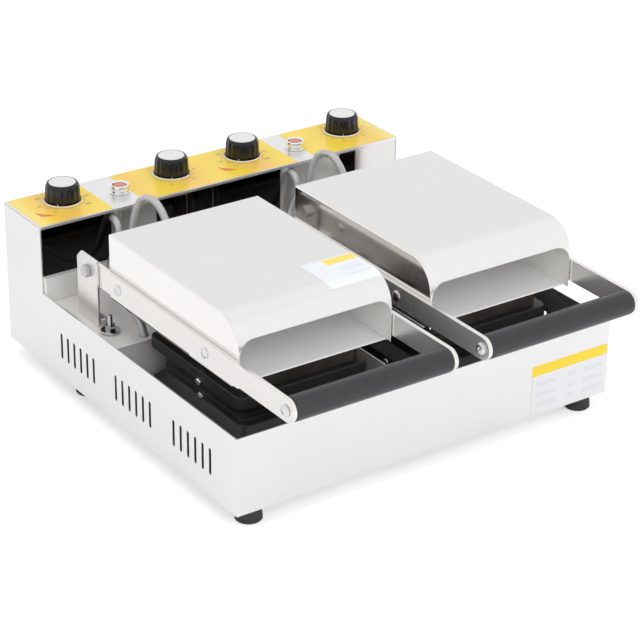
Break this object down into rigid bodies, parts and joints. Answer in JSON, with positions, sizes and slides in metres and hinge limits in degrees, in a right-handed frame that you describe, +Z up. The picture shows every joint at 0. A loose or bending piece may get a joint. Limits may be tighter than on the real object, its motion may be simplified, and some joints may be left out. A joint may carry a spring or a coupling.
{
  "type": "countertop sandwich press",
  "caption": "Countertop sandwich press with side-by-side hinged heads, black cast moulds, round front grips, and a rear control box with dials and lamps.",
  "frame": {"origin": "under the middle of the bounding box, on the surface that the feet stand on", "axes": "+X to the right as the user faces it, +Y to the back, away from the user, +Z up"},
  "size_m": [0.5, 0.5778, 0.218],
  "materials": {
    "steel": "bright brushed stainless sheet",
    "dark_steel": "polished sheet that reads as near black",
    "galvanised": "dull zinc-coated sheet",
    "bright_steel": "bright plated",
    "casting": "cast, black release coating",
    "black_steel": "cast heating block, blackened",
    "rubber": "matt black",
    "grip": "smooth dark heat-resistant plastic",
    "knob": "gloss black",
    "switch_body": "dark phenolic",
    "lens": "clear orange",
    "conduit": "light grey woven sleeve, glazed"
  },
  "bodies": {
    "housing": {"bottom_plate": "galvanised", "control_front_panel": "dark_steel", "control_top_panel": "steel", "cord_gland": "rubber", "deck_stud_left": "bright_steel", "deck_stud_right": "bright_steel", "foot_front_left": "rubber", "foot_front_right": "rubber", "foot_rear_left": "rubber", "foot_rear_right": "rubber", "hinge_bracket_left_left": "steel", "hinge_bracket_left_right": "steel", "hinge_bracket_right_left": "steel", "hinge_bracket_right_right": "steel", "hinge_deck": "steel", "housing_wrap": "steel", "lamp_bezel_left": "bright_steel", "lamp_bezel_right": "bright_steel", "lamp_lens_left": "lens", "lamp_lens_right": "lens", "lid_conduit_left": "conduit", "lid_conduit_right": "conduit", "lower_conduit_left": "conduit", "lower_conduit_right": "conduit", "lower_heater_left": "black_steel", "lower_heater_right": "black_steel", "lower_mould_left": "casting", "lower_mould_right": "casting", "mould_bay_liner": "steel", "pivot_bolt_left_left": "bright_steel", "pivot_bolt_left_right": "bright_steel", "pivot_bolt_right_left": "bright_steel", "pivot_bolt_right_right": "bright_steel", "rear_cover": "steel", "thermostat_left_body": "switch_body", "thermostat_right_body": "switch_body", "timer_left_body": "switch_body", "timer_right_body": "switch_body"},
    "lid_left": {"arm_left_left": "steel", "arm_left_right": "steel", "grip_left": "grip", "handle_rod_left": "bright_steel", "head_plate_left": "steel", "lid_cover_left": "steel", "upper_heater_left": "black_steel", "upper_mould_left": "casting"},
    "lid_right": {"arm_right_left": "steel", "arm_right_right": "steel", "grip_right": "grip", "handle_rod_right": "bright_steel", "head_plate_right": "steel", "lid_cover_right": "steel", "upper_heater_right": "black_steel", "upper_mould_right": "casting"},
    "thermostat_left_knob": {"thermostat_left_knob": "knob"},
    "timer_left_knob": {"timer_left_knob": "knob"},
    "thermostat_right_knob": {"thermostat_right_knob": "knob"},
    "timer_right_knob": {"timer_right_knob": "knob"}
  },
  "joints": [
    {"name": "lid_left_hinge", "type": "hinge", "parent": "housing", "child": "lid_left", "pos_m": [-0.1235, 0.1189, 0.1625], "axis": [-1, 0, 0], "range_deg": [0, 95], "deforming": ["lid_conduit_left"]},
    {"name": "lid_right_hinge", "type": "hinge", "parent": "housing", "child": "lid_right", "pos_m": [0.1235, 0.1189, 0.1625], "axis": [-1, 0, 0], "range_deg": [0, 95], "deforming": ["lid_conduit_right"]},
    {"name": "thermostat_left_turn", "type": "hinge", "parent": "housing", "child": "thermostat_left_knob", "pos_m": [-0.1925, 0.2405, 0.1935], "axis": [0, 0, 1], "range_deg": [-270, 0]},
    {"name": "timer_left_turn", "type": "hinge", "parent": "housing", "child": "timer_left_knob", "pos_m": [-0.0455, 0.2405, 0.1935], "axis": [0, 0, 1], "range_deg": [-300, 0]},
    {"name": "thermostat_right_turn", "type": "hinge", "parent": "housing", "child": "thermostat_right_knob", "pos_m": [0.0545, 0.2405, 0.1935], "axis": [0, 0, 1], "range_deg": [-270, 0]},
    {"name": "timer_right_turn", "type": "hinge", "parent": "housing", "child": "timer_right_knob", "pos_m": [0.2015, 0.2405, 0.1935], "axis": [0, 0, 1], "range_deg": [-300, 0]}
  ]
}
